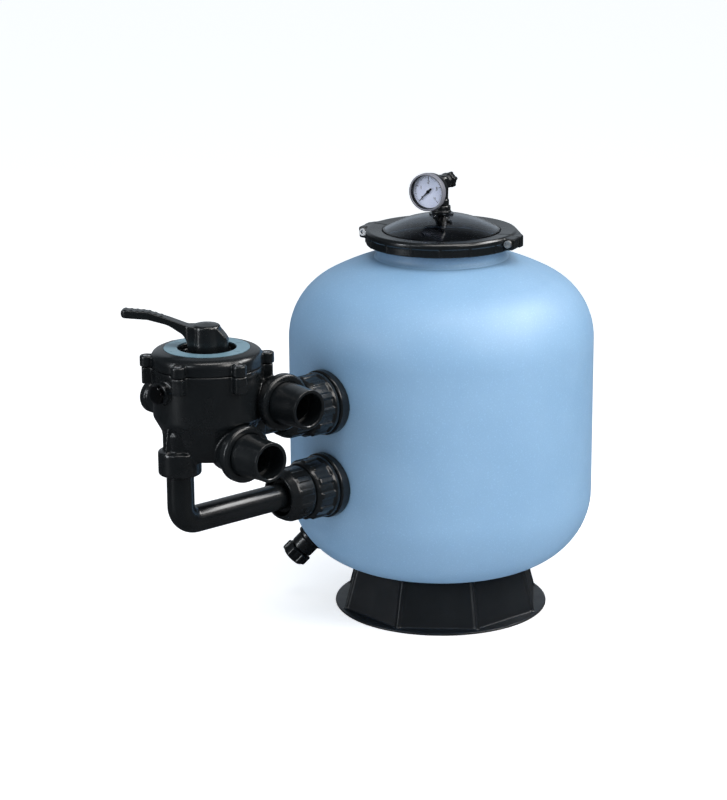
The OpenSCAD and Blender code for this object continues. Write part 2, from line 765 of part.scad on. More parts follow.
module drain_body() color(black)
    drain_frame()
        difference() {
            union() {
                translate([0, 0, low_corner_r - 24]) cylinder(r = drain_barrel_r, h = 30);
                lathe([[0, low_corner_r + 3.2, 0], [drain_flange_r, low_corner_r + 3.2, 0.5],
                    [drain_flange_r, low_corner_r + 9, 2.5], [20, low_corner_r + 12, 3],
                    [20, drain_shoulder, 1], [15.5, drain_shoulder, 0], [15.5, drain_top, 1],
                    [0, drain_top, 0]]);
            }
            translate([0, 0, low_corner_r - 30]) cylinder(r = 10, h = 80);
        }

module drain_gasket() color(rubber)
    difference() {
        drain_frame() ring(24.5, drain_barrel_r + gap, low_corner_r - 12, low_corner_r + 3);
        rotate_extrude($fn = 720) {
            translate([tank_r - low_corner_r, wall_low_z]) circle(r = low_corner_r + 0.2, $fn = 360);
            square([tank_r - low_corner_r, wall_low_z]);
        }
    }

module drain_strainer() color([0.88, 0.88, 0.86])
    drain_frame()
        difference() {
            translate([0, 0, low_corner_r - 64]) cylinder(r = 9.8, h = 56, $fn = 48);
            translate([0, 0, low_corner_r - 61]) cylinder(r = 7.8, h = 80, $fn = 48);
            for (z = [low_corner_r - 58:6:low_corner_r - 30]) translate([-20, 0, z]) cube([40, 20, 1.2]);
        }

module drain_seal() color(rubber)
    drain_frame()
        translate([0, 0, drain_top + 0.2]) cylinder(r = 15, h = 2.2);

drain_cap_lobes = 6;
module drain_cap() color(black)
    drain_frame()
        difference() {
            union() {
                lathe([[0, drain_top - 11, 0], [20, drain_top - 11, 1], [20, drain_top + 9, 4],
                    [0, drain_top + 12, 0]]);
                for (i = [0:drain_cap_lobes - 1]) rotate([0, 0, i * 360 / drain_cap_lobes])
                    translate([18.5, 0, drain_top - 10])
                        lathe([[0, 0, 0], [5, 0, 1.5], [5, 17, 3], [0, 19, 0]]);
            }
            translate([0, 0, drain_top - 12]) cylinder(r = 15.8, h = 14.7);
        }

// ---- Valve body ----

valve_joint_z = 496;
// Direction of the bottom port's gusset, in degrees from +X
gusset_turn = 190;
body_low_z = 356;
body_floor_z = 366;
spider_z = 452;
rotor_room_r = 71;
chamber_r = 60;
pump_z = 373;
return_z = 440;
return_offset = 76;
waste_z = 420;
waste_reach = 140;
port_r = 30.5;
port_end = 150;
port_neck_end = 80;
port_thread_h = 7;
port_thread_r = 37;
lug_circle_r = 91;
// Half width of the body's screw lugs, how far they stand out, and the radius of the cover's lugs
body_lug_half = 10;
lug_out_r = 8.5;
cover_lug_r = 11;
body_lug_low_z = 470;
cover_lug_top_z = 513.5;
cover_top_z = 521;

module at_cover_screws()
    for (i = [0:5]) rotate([0, 0, lug_turn + i * 60]) translate([lug_circle_r, 0, 0]) children();

// A block for one cover screw, from the wall of the valve to just beyond the screw
module screw_lug(z0, z1, half)
    translate([0, 0, z0])
        linear_extrude(height = z1 - z0)
            polygon(rounded([[-18, -half, 0], [lug_out_r, -half, 4], [lug_out_r, half, 4], [-18, half, 0]]));

// Frame of a port that faces -Y, seen from the valve's axis
module port_frame(x, z) translate([x, 0, z]) rotate([90, 0, 0]) children();

module body_outside() {
    difference() {
        lathe([[0, body_low_z, 0], [62, body_low_z, 8], [69, 378, 8], [72, 396, 6], [valve_r, 418, 8],
            [valve_r, 484, 0], [valve_r + 1, 487, 1], [valve_r + 1, valve_joint_z, 0],
            [0, valve_joint_z, 0]]);
        // Room for the pump port's nut to turn
        port_frame(0, pump_z) translate([0, 0, port_neck_end + 0.2]) cylinder(r = port_nut_r + 1, h = 40);
    }
    at_cover_screws() screw_lug(body_lug_low_z, valve_joint_z, body_lug_half);
    // Bottom port: a socket beside the body for the pipe to the lower connector
    translate([valve_reach - bottom_port_reach, 0, 0]) {
        lathe([[0, 334, 0], [33, 334, 4], [33, 371, 3], [25, 373, 3], [25, 402, 10], [0, 412, 0]]);
    }
    translate([valve_reach - bottom_port_reach, -18, 376]) cube([40, 36, 27]);
    // Gusset down the outside of the bottom port
    translate([valve_reach - bottom_port_reach, 0, 0]) rotate([0, 0, gusset_turn])
        rotate([90, 0, 0]) translate([0, 0, -2]) linear_extrude(height = 4)
            polygon([[20, 368], [32, 370], [25, 410], [20, 414]]);
    // Top port, towards the upper connector
    translate([0, 0, upper_z]) rotate([0, 90, 0])
        lathe([[0, 40, 0], [34, 40, 0], [34, 86, 4], [28.5, 92, 3],
            [28.5, valve_reach - top_port_end, 1.5], [0, valve_reach - top_port_end, 0]]);
    // Pump and return ports, towards -Y
    port_frame(0, pump_z) port_outside(44);
    port_frame(return_offset, return_z) port_outside(20);
    translate([30, -40, return_z - 32]) cube([50, 60, 60]);
    // Waste port, towards +Y
    translate([0, 0, waste_z]) rotate([-90, 0, 0])
        lathe([[0, 40, 0], [38, 40, 0], [30, 96, 3], [25, 100, 2], [25, waste_reach - 14, 0],
            [27.5, waste_reach - 13, 1], [27.5, waste_reach, 2], [0, waste_reach, 0]]);
    // Boss for the sight glass
    translate([0, 0, sight_z]) rotate([0, -90, 0])
        lathe([[0, 70, 0], [19, 70, 0], [17, sight_reach - 8, 1.5], [0, sight_reach - 8, 0]]);
}

// Cone-shaped branch that ends in the thread for a port nut
module port_outside(start)
    lathe([[0, start, 0], [33, start, 0], [34, port_neck_end - 22, 20], [40.5, port_neck_end, 1],
        [port_thread_r, port_neck_end, 0], [port_thread_r, port_face, 0], [0, port_face, 0]]);

// Groove for the O-ring in a port's face
module port_groove() ring(31, 26.6, port_face - 2.6, port_face + cut);

port_face = port_neck_end + port_thread_h;
sight_z = 465;
sight_reach = 100;
chamber_walls = 6;

// The six passages below the rotor, divided by radial walls about a hub
module body_passages()
    difference() {
        translate([0, 0, body_floor_z]) cylinder(r = chamber_r, h = spider_z - body_floor_z + cut);
        translate([0, 0, body_floor_z - cut]) cylinder(r = 13, h = 200);
        for (i = [0:chamber_walls / 2 - 1]) rotate([0, 0, 30 + i * 360 / chamber_walls])
            translate([-chamber_r - cut, -2.5, body_floor_z - cut]) cube([2 * chamber_r + 2 * cut, 5, 200]);
    }

module valve_body() color(black)
    valve_frame()
        difference() {
            body_outside();
            body_passages();
            translate([0, 0, spider_z]) cylinder(r = rotor_room_r, h = 100);
            ring(79.5, 75.1, valve_joint_z - 3.4, valve_joint_z + cut);
            at_cover_screws() {
                translate([0, 0, 460]) cylinder(r = 3.3, h = 60, $fn = 32);
                translate([0, 0, 460]) cylinder(r = 6.6, h = 21, $fn = 6);
            }
            // Bottom port
            translate([valve_reach - bottom_port_reach, 0, 333])
                cylinder(r = manifold_r + 0.1, h = pipe_top_z - 332.7);
            translate([valve_reach - bottom_port_reach, 0, 333]) cylinder(r = pipe_bore_r, h = 58);
            translate([valve_reach - bottom_port_reach, 0, 388]) rotate([0, 90, 0]) cylinder(r = 14, h = 40);
            // Top port
            translate([30, 0, upper_z]) rotate([0, 90, 0]) cylinder(r = pipe_bore_r, h = 120);
            translate([valve_reach - 398, 0, upper_z]) rotate([0, 90, 0])
                cylinder(r = manifold_r + 0.1, h = 60);
            // Pump and return ports
            port_frame(0, pump_z + 14) translate([0, 0, 30]) cylinder(r = 15, h = 40);
            port_frame(0, pump_z) translate([0, 0, 64]) cylinder(r = 24, h = 60);
            port_frame(0, pump_z) port_groove();
            port_frame(return_offset, return_z) cylinder(r = 20, h = 60);
            port_frame(return_offset, return_z) translate([0, 0, 50]) cylinder(r = 24, h = 60);
            port_frame(return_offset, return_z) port_groove();
            translate([40, 0, return_z]) rotate([0, 90, 0]) cylinder(r = 14, h = return_offset - 40);
            // Waste port
            translate([0, 0, waste_z]) rotate([-90, 0, 0]) translate([0, 0, 30]) cylinder(r = 20, h = 120);
            // Sight-glass port
            translate([0, 0, sight_z]) rotate([0, -90, 0]) translate([0, 0, 60]) cylinder(r = 10, h = 60);
        }

module sight_glass() color([0.25, 0.27, 0.3, 0.6])
    valve_frame()
        translate([0, 0, sight_z]) rotate([0, -90, 0])
            difference() {
                union() {
                    lathe([[0, sight_reach - 7.5, 0], [14.5, sight_reach - 7.5, 1], [14.5, sight_reach, 2],
                        [0, sight_reach, 0]]);
                    translate([0, 0, sight_reach - 22]) cylinder(r = 9.7, h = 16);
                }
                translate([0, 0, sight_reach - 23]) cylinder(r = 7, h = 19);
            }

// ---- Port unions on the valve ----

port_tail_flange_h = 3.5;
port_tail_flange_r = 36.6;
// Radius of a tail where it leaves its nut; it tapers from there to port_r
port_tail_root_r = 33.2;

module port_positions() {
    valve_frame() port_frame(0, pump_z) children();
    valve_frame() port_frame(return_offset, return_z) children();
}

module port_tails() color(black)
    port_positions()
        difference() {
            lathe([[0, port_face + gap, 0], [port_tail_flange_r, port_face + gap, 0.5],
                [port_tail_flange_r, port_face + gap + port_tail_flange_h, 0.5],
                [port_tail_root_r, port_face + gap + port_tail_flange_h, 0],
                [port_tail_root_r, port_nut_end + 1, 4], [port_r, port_end - 14, 20],
                [port_r, port_end, 1], [0, port_end, 0]]);
            cylinder(r = port_stop_r, h = 200);
            translate([0, 0, port_end - 30]) cylinder(r = pipe_r + 0.15, h = 60);
            translate([0, 0, port_end - 1.2]) cylinder(r1 = pipe_r, r2 = pipe_r + 2.4, h = 2.4);
        }

module port_o_rings() port_positions() o_ring(28.8, 1.4, port_face - 1.15);

port_nut_end = port_face + port_tail_flange_h + 5;
port_nut_r = 44;
// Bore beyond the ledge that stops the pipe
port_stop_r = 23;
module port_nut() color(black)
    difference() {
        lathe([[0, port_neck_end + 0.5, 0], [port_nut_r, port_neck_end + 0.5, 2],
            [port_nut_r, port_nut_end - 2, 3.5], [port_nut_r - 4, port_nut_end, 1], [0, port_nut_end, 0]]);
        cylinder(r = port_thread_r + gap, h = port_face + port_tail_flange_h + 2 * gap);
        cylinder(r = port_tail_root_r + 0.4, h = 200);
    }

module pump_port_nut() valve_frame() port_frame(0, pump_z) port_nut();
module return_port_nut() valve_frame() port_frame(return_offset, return_z) port_nut();

// ---- Valve cover ----

cover_low_z = valve_joint_z + gap;
label_r = 65.5;
recess_r = 45;
recess_z = 511;
stem_bore_r = 9.3;

module valve_cover() color(black)
    valve_frame()
        difference() {
            union() {
                lathe([[0, cover_low_z, 0], [valve_r + 1, cover_low_z, 0],
                    [valve_r + 1, cover_top_z - 3, 12],
                    [label_r + 2, cover_top_z + 1.5, 1], [label_r + 0.3, cover_top_z + 1.5, 0],
                    [label_r + 0.3, cover_top_z, 0], [0, cover_top_z, 0]]);
                at_cover_screws() lathe([[0, cover_low_z, 0], [cover_lug_r, cover_low_z, 0],
                    [cover_lug_r, cover_lug_top_z, 2.5], [0, cover_lug_top_z, 0]]);
            }
            translate([0, 0, recess_z]) difference() {
                cylinder(r = recess_r, h = 40);
                translate([0, 0, -cut]) cylinder(r = 17, h = 2 + cut);
                for (i = [0:11]) rotate([0, 0, i * 30]) translate([34, -2, -cut]) cube([20, 4, 5]);
            }
            translate([0, 0, cover_low_z - cut]) cylinder(r = 66, h = 6 + cut);
            translate([0, 0, cover_low_z - cut]) cylinder(r = 23, h = 10 + cut);
            translate([0, 0, 400]) cylinder(r = stem_bore_r, h = 200);
            ring(11.7, 9, 508.2, 510.6);
            at_cover_screws() {
                translate([0, 0, 480]) cylinder(r = 3.3, h = 60, $fn = 32);
                translate([0, 0, 507]) cylinder(r = 6.3, h = 10, $fn = 32);
            }
        }

module cover_o_ring() valve_frame() o_ring(77.3, 1.75, valve_joint_z - 1.6);
module stem_o_ring() valve_frame() o_ring(10.5, 1.1, 509.4);

module cover_screws() color(steel)
    valve_frame() at_cover_screws()
        translate([0, 0, 475]) cap_screw(3, 32.2, 5.6, 5);

module cover_nuts() color(steel)
    valve_frame() at_cover_screws()
        translate([0, 0, 476]) hex_nut(6.3, 4.8, 3.15);

// The marked ring on the cover: six sector ticks
module label_plate() color([0.66, 0.84, 0.92])
    valve_frame()
        difference() {
            ring(label_r, recess_r + 0.4, cover_top_z + 0.15, cover_top_z + 2);
            for (i = [0:5]) rotate([0, 0, handle_turn + 30 + i * 60])
                translate([recess_r + 4, -0.6, cover_top_z + 1.6]) cube([label_r - recess_r - 8, 1.2, 1]);
        }

// ---- Rotor, spring and handle ----

rotor_low_z = 455.6;
rotor_disc_h = 8;
pin_z = 541;
pin_r = 3;
stem_top_z = 549;

module spider_gasket() color(rubber)
    valve_frame() {
        ring(70, 60.5, spider_z + 0.2, spider_z + 3.2);
        ring(12, 4, spider_z + 0.2, spider_z + 3.2);
        for (i = [0:chamber_walls - 1]) rotate([0, 0, 30 + i * 360 / chamber_walls])
            translate([11, -2.3, spider_z + 0.2]) cube([51, 4.6, 3]);
    }

module rotor() color([0.8, 0.8, 0.78])
    handle_frame()
        difference() {
            union() {
                translate([0, 0, rotor_low_z]) cylinder(r = 69.5, h = rotor_disc_h);
                translate([0, 0, rotor_low_z + rotor_disc_h - cut]) cylinder(r = 12, h = 5);
                translate([0, 0, rotor_low_z + rotor_disc_h])
                    cylinder(r = 9, h = stem_top_z - rotor_low_z - rotor_disc_h);
            }
            translate([0, 0, rotor_low_z - cut]) intersection() {
                difference() {
                    cylinder(r = 58, h = 30);
                    cylinder(r = 16, h = 30);
                }
                rotate([0, 0, -28]) cube([80, 80, 30]);
                rotate([0, 0, 28]) translate([0, -80, 0]) cube([80, 80, 30]);
            }
            translate([0, 0, rotor_low_z - cut]) intersection() {
                difference() {
                    cylinder(r = 58, h = 5);
                    cylinder(r = 16, h = 5);
                }
                rotate([0, 0, 62]) cube([80, 80, 5]);
                rotate([0, 0, 118]) translate([0, -80, 0]) cube([80, 80, 5]);
            }
            translate([0, 0, pin_z]) rotate([90, 0, 0])
                cylinder(r = pin_r + 0.05, h = 60, center = true, $fn = 48);
        }

spring_low_z = rotor_low_z + rotor_disc_h + 0.2;
spring_high_z = cover_low_z + 10 - 0.2;
spring_r = 17.5;
spring_wire_r = 2;
spring_turns = 5;
spring_steps = 20;
wire_sides = 8;

// Corner j of the wire's cross-section at step i along the coil
function coil_point(i, j) =
    let (a = i * 360 / spring_steps, b = j * 360 / wire_sides)
    let (r = spring_r + spring_wire_r * cos(b))
    [r * cos(a), r * sin(a), spring_low_z + spring_wire_r + spring_wire_r * sin(b)
        + (spring_high_z - spring_low_z - 2 * spring_wire_r) * i / (spring_turns * spring_steps)];

module rotor_spring() color(steel)
    valve_frame() {
        last = spring_turns * spring_steps;
        polyhedron(
            points = [for (i = [0:last]) for (j = [0:wire_sides - 1]) coil_point(i, j)],
            faces = concat(
                [[for (j = [0:wire_sides - 1]) j]],
                [[for (j = [wire_sides - 1:-1:0]) last * wire_sides + j]],
                [for (i = [0:last - 1]) for (j = [0:wire_sides - 1]) for (half = [0, 1])
                    let (k = (j + 1) % wire_sides)
                    half == 0
                        ? [i * wire_sides + j, (i + 1) * wire_sides + j, (i + 1) * wire_sides + k]
                        : [i * wire_sides + j, (i + 1) * wire_sides + k, i * wire_sides + k]]));
    }

washer_top_z = recess_z + 4.4;
module stem_washer() color(black)
    valve_frame() ring(24, 9.5, recess_z + 2.2, washer_top_z);

hub_low_gap = 0.3;
hub_base_z = washer_top_z + hub_low_gap;
hub_top = 558.5;
hub_half = 23;
lever_half = 11.5;
lever_end = 129;
lever_top = 578.5;

// Side view of the handle: x runs out along the lever, y is height
module handle_side()
    polygon(rounded([[-33, hub_base_z, 3], [-33, 536, 9], [-17, hub_top - 3, 9], [12, hub_top - 1, 6],
        [27, 557, 12], [57, 568.5, 40], [88, lever_top, 30], [lever_end, lever_top + 3.5, 5],
        [lever_end, 570, 5], [88, 566.5, 30], [57, 558.5, 40], [35, 544, 16], [29, 533, 4],
        [27, hub_base_z + 3, 0], [20, hub_base_z, 0]], 6));

// A slab of the given half width, cut to the handle's side view
module handle_slab(half)
    rotate([90, 0, 0])
        translate([0, 0, -half]) linear_extrude(height = 2 * half) handle_side();

// Half the thickness of the fin that joins the hub to the lever
fin_half = 17;

// The fin seen from above
module hub_outline()
    translate([0, 0, hub_base_z - 10])
        linear_extrude(height = 90)
            polygon(rounded([[-34, -fin_half + 3, 9], [0, -fin_half, 0], [33, -fin_half + 4, 9],
                [33, fin_half - 4, 9], [0, fin_half, 0], [-34, fin_half - 3, 9]], 8));

// The same, seen along the lever: upright sides and a rounded top
module hub_end_view()
    rotate([90, 0, 90])
        translate([0, 0, -50])
            linear_extrude(height = 100)
                polygon(rounded([[-fin_half - 1, hub_base_z - 10, 0], [-fin_half + 2, hub_top + 1, 8],
                    [fin_half - 2, hub_top + 1, 8], [fin_half + 1, hub_base_z - 10, 0]], 8));

// Height of a finger ridge's centre at x along the lever
function ridge_z(x) = lever_top - 2.3 + (x - 88) * (x > 88 ? 0.085 : 0.32);

module valve_handle() color(black)
    handle_frame()
        difference() {
            union() {
                lathe([[0, hub_base_z, 0], [hub_half, hub_base_z, 0], [hub_half - 1.5, hub_top - 0.5, 5],
                    [0, hub_top + 2, 0]], 8);
                intersection() {
                    handle_slab(hub_half);
                    hub_outline();
                    hub_end_view();
                }
                intersection() {
                    handle_slab(lever_half);
                    translate([0, 0, 500]) linear_extrude(height = 120)
                        polygon(rounded([[-20, -lever_half, 0], [40, -lever_half, 20], [88, -9.5, 20],
                            [lever_end, -11.5, 9], [lever_end, 11.5, 9], [88, 9.5, 20], [40, lever_half, 20],
                            [-20, lever_half, 0]], 6));
                }
                // Finger ridges on top of the lever
                for (x = [68:9:122]) translate([x, 0, ridge_z(x)])
                    rotate([90, 0, 0]) cylinder(r = 3.6, h = 16, center = true, $fn = 32);
            }
            translate([-16, -9.4, hub_base_z - 10]) cube([32, 18.8, 50]);
            // Blind at the front, so that the pin goes in from the back
            translate([0, pin_front, pin_z]) rotate([90, 0, 0])
                cylinder(r = pin_r + 0.05, h = 3 * hub_half, $fn = 48);
        }

pin_front = hub_half - 4;
module handle_pin() color(steel)
    handle_frame()
        translate([0, pin_front - gap, pin_z]) rotate([90, 0, 0])
            cylinder(r = pin_r, h = 2 * pin_front, $fn = 48);

foot_base();
tank_shell();
lid_dome();
lid_o_ring();
clamp_front();
clamp_rear();
clamp_screws();
clamp_nuts();
lid_stem();
lid_stem_o_ring();
gauge_lock_nut();
gauge_tee();
gauge_socket();
gauge_case();
gauge_bezel();
gauge_lens();
gauge_dial();
gauge_needle();
bourdon_tube();
gauge_movement();
vent_seal();
vent_knob();
bulkheads();
bulkhead_gaskets();
flange_washers();
lock_nuts();
union_o_rings();
upper_union_nut();
upper_union_tail();
lower_union_nut();
lower_union_tail();
manifold_pipe();
inner_pipes();
inner_elbows();
top_diffuser();
lateral_hub();
laterals();
drain_body();
drain_gasket();
drain_strainer();
drain_seal();
drain_cap();
valve_body();
valve_cover();
cover_o_ring();
cover_screws();
cover_nuts();
label_plate();
spider_gasket();
rotor();
rotor_spring();
stem_o_ring();
stem_washer();
valve_handle();
handle_pin();
port_tails();
port_o_rings();
pump_port_nut();
return_port_nut();
sight_glass();
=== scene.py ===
"""Looks of the sand filter tank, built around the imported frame."""
import json
import math

import bmesh
import bpy
from mathutils import Matrix, Vector


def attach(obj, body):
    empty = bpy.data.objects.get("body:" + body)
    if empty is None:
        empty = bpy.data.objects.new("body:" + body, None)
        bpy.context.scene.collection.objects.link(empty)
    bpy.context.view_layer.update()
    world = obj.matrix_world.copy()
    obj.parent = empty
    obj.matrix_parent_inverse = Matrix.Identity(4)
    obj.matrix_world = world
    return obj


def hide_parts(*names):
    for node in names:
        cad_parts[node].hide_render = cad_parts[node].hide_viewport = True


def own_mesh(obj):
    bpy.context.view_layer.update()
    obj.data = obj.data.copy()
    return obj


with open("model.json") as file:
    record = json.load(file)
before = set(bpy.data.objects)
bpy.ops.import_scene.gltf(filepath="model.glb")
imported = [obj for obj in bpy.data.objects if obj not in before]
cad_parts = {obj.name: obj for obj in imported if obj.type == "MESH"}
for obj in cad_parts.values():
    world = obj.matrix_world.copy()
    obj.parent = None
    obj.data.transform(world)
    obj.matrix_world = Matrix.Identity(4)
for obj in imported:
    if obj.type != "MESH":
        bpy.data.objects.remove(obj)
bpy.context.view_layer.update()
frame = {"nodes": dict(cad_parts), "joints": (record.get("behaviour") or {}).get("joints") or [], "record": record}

NODES = frame["nodes"]
RECORD = frame["record"]
MM = 0.001

BODY_OF = {n: body for body, members in RECORD["behaviour"]["bodies"].items() for n in members}
SLOT_OF = {s["node"]: s["material_slot"] for s in RECORD["subparts"]}
JOINTS = {j["name"]: j for j in frame["joints"]}


# ---------------------------------------------------------------- node helpers

# Rays for the bevel and the occlusion nodes
SHADER_SAMPLES = 4
# Specular level of moulded plastic in the open
PLASTIC_SHINE = 0.5


class Shader:
    """A node material with a Principled surface, and short calls for the nodes it uses."""

    def __init__(self, name):
        self.material = bpy.data.materials.new(name)
        self.material.use_nodes = True
        self.nodes = self.material.node_tree.nodes
        self.links = self.material.node_tree.links
        self.bsdf = self.nodes["Principled BSDF"]
        self.out = self.nodes["Material Output"]
        self.place = self.nodes.new("ShaderNodeTexCoord").outputs["Object"]

    def feed(self, socket, value):
        if isinstance(value, bpy.types.NodeSocket):
            self.links.new(value, socket)
        elif isinstance(value, tuple) and len(value) == 3 and socket.type == "RGBA":
            socket.default_value = (*value, 1.0)
        else:
            socket.default_value = value

    def set(self, **values):
        for key, value in values.items():
            self.feed(self.bsdf.inputs[key.replace("_", " ")], value)

    def math(self, operation, a, b=0.0, c=0.0):
        node = self.nodes.new("ShaderNodeMath")
        node.operation = operation
        for socket, value in zip(node.inputs, (a, b, c)):
            self.feed(socket, value)
        return node.outputs[0]

    def stretch(self, scale):
        """The object's own coordinates, scaled on each axis."""
        node = self.nodes.new("ShaderNodeMapping")
        self.feed(node.inputs["Vector"], self.place)
        node.inputs["Scale"].default_value = scale
        return node.outputs[0]

    def noise(self, scale, detail=3.0, rough=0.5, vector=None):
        node = self.nodes.new("ShaderNodeTexNoise")
        self.feed(node.inputs["Vector"], vector or self.place)
        node.inputs["Scale"].default_value = scale
        node.inputs["Detail"].default_value = detail
        node.inputs["Roughness"].default_value = rough
        return node.outputs["Fac"]

    def span(self, value, low, high, to_low=0.0, to_high=1.0):
        """Maps low..high of a value to to_low..to_high, held at both ends."""
        node = self.nodes.new("ShaderNodeMapRange")
        for socket, v in zip(node.inputs, (value, low, high, to_low, to_high)):
            self.feed(socket, v)
        return node.outputs[0]

    def mix(self, factor, a, b):
        node = self.nodes.new("ShaderNodeMix")
        node.data_type = "RGBA"
        self.feed(node.inputs["Factor"], factor)
        self.feed(node.inputs["A"], a)
        self.feed(node.inputs["B"], b)
        return node.outputs["Result"]

    def bump(self, height, distance, strength=1.0, normal=None):
        node = self.nodes.new("ShaderNodeBump")
        self.feed(node.inputs["Height"], height)
        node.inputs["Distance"].default_value = distance
        node.inputs["Strength"].default_value = strength
        if normal:
            self.links.new(normal, node.inputs["Normal"])
        return node.outputs[0]

    def soft_edge(self, radius):
        """The surface's normal, rounded over sharp edges."""
        node = self.nodes.new("ShaderNodeBevel")
        node.samples = SHADER_SAMPLES
        node.inputs["Radius"].default_value = radius
        return node.outputs[0]

    def shade_openness(self, reach):
        """1 on open surfaces, falling to 0 deep inside a hollow or a corner."""
        node = self.nodes.new("ShaderNodeAmbientOcclusion")
        node.samples = SHADER_SAMPLES
        node.inputs["Distance"].default_value = reach
        return node.outputs["AO"]

    def edge_mask(self, soft_normal, low, high):
        """1 along sharp edges, 0 on flat faces."""
        geometry = self.nodes.new("ShaderNodeNewGeometry")
        dot = self.nodes.new("ShaderNodeVectorMath")
        dot.operation = "DOT_PRODUCT"
        self.links.new(geometry.outputs["Normal"], dot.inputs[0])
        self.links.new(soft_normal, dot.inputs[1])
        return self.span(dot.outputs["Value"], high, low, 0.0, 1.0)


def plastic(name, base, light, rough, grain=900.0, grain_depth=0.02 * MM, wear=0.5, edge=0.6 * MM,
            waves=0.0, coat=0.0, hollows=30 * MM):
    """Moulded plastic: base to light colour in cloudy patches, fine grain, rubbed edges, and painted shade that
    darkens colour and shine in hollows.

    Grain is a noise scale and grain_depth its height. Waves is the height of slow waves, edge the width
    of a rounded edge, wear how pale rubbed edges get, and hollows how far into a hollow the painted shade reaches.
    """
    s = Shader(name)
    cloud = s.span(s.noise(9.0, 4.0, 0.6), 0.35, 0.68)
    speck = s.span(s.noise(420.0, 2.0), 0.56, 0.72)
    colour = s.mix(cloud, base, light)
    colour = s.mix(s.math("MULTIPLY", speck, 0.25), colour, tuple(min(1.0, c * 1.6) for c in light))
    soft = s.soft_edge(edge)
    rubbed = s.math("MULTIPLY", s.edge_mask(soft, 0.90, 0.995), s.span(s.noise(70.0, 3.0), 0.4, 0.65))
    colour = s.mix(s.math("MULTIPLY", rubbed, wear), colour, tuple(min(1.0, c * 2.2 + 0.012) for c in light))
    # Painted shade: deep in hollows and corners the colour falls to a quarter of the base colour
    hollow = s.shade_openness(hollows)
    colour = s.mix(s.span(hollow, 0.1, 0.7), tuple(c * 0.25 for c in base), colour)
    handled = s.span(s.noise(26.0, 5.0, 0.65), 0.3, 0.75, rough * 0.86, rough * 1.22)
    s.set(Base_Color=colour, Roughness=s.math("ADD", handled, s.math("MULTIPLY", rubbed, 0.08)))
    normal = s.bump(s.noise(grain, 2.0), grain_depth, 1.0, soft)
    if waves:
        normal = s.bump(s.noise(34.0, 2.0, 0.4), waves, 1.0, normal)
    s.links.new(normal, s.bsdf.inputs["Normal"])
    # Painted shade on the shine too: the specular level falls in hollows
    s.set(Specular_IOR_Level=s.span(hollow, 0.05, 0.75, PLASTIC_SHINE * 0.15, PLASTIC_SHINE),
          Coat_Weight=coat, Coat_Roughness=0.12)
    return s


def inner_wall_shade_mask(s):
    """1 on the vessel's inner wall, which faces the tank's middle and is painted in shade, and 0 outside."""
    geometry = s.nodes.new("ShaderNodeNewGeometry")
    middle = s.nodes.new("ShaderNodeVectorMath")
    middle.operation = "SUBTRACT"
    s.links.new(s.place, middle.inputs[0])
    middle.inputs[1].default_value = (0.0, 0.0, 0.33)
    dot = s.nodes.new("ShaderNodeVectorMath")
    dot.operation = "DOT_PRODUCT"
    s.links.new(geometry.outputs["Normal"], dot.inputs[0])
    s.links.new(middle.outputs["Vector"], dot.inputs[1])
    return s.span(dot.outputs["Value"], -0.03, -0.02, 1.0, 0.0)


def tank_blue():
    """Blow-moulded blue plastic: satin, with orange peel and slow waves from the mould, and painted shade on its
    inner wall.
    """
    s = plastic("tank_blue", (0.240, 0.428, 0.652), (0.264, 0.457, 0.684), 0.52, grain=650.0,
                grain_depth=0.035 * MM, wear=0.15, edge=0.8 * MM)
    patches = s.noise(2.2, 2.0, 0.5)
    base = s.bsdf.inputs["Base Color"].links[0].from_socket
    outside = s.mix(s.span(patches, 0.3, 0.7, 0.0, 0.25), base, (0.262, 0.470, 0.710))
    inner = inner_wall_shade_mask(s)
    # Painted shade: the inner wall is near-black and has no shine
    s.set(Base_Color=s.mix(inner, outside, (0.010, 0.013, 0.018)),
          Specular_IOR_Level=s.span(inner, 0.0, 1.0, 0.7, 0.0))
    normal = s.bsdf.inputs["Normal"].links[0].from_socket
    slow = s.bump(s.noise(16.0, 2.0, 0.4), 0.22 * MM, 1.0, normal)
    peel = s.bump(s.noise(210.0, 2.0, 0.5), 0.05 * MM, 1.0, slow)
    s.links.new(peel, s.bsdf.inputs["Normal"])
    s.set(Subsurface_Weight=0.06, Subsurface_Radius=(0.004, 0.006, 0.010), Subsurface_Scale=1.0)
    return s.material


def pipe_black():
    """Extruded pipe: glossy, with faint die lines."""
    s = plastic("black_pipe", (0.0045, 0.0056, 0.0066), (0.0080, 0.0098, 0.0112), 0.22, grain=1200.0,
                grain_depth=0.008 * MM, wear=0.35, coat=0.15)
    lines = s.noise(1.0, 2.0, 0.5, s.stretch((12.0, 900.0, 900.0)))
    normal = s.bsdf.inputs["Normal"].links[0].from_socket
    s.links.new(s.bump(lines, 0.02 * MM, 0.6, normal), s.bsdf.inputs["Normal"])
    return s.material


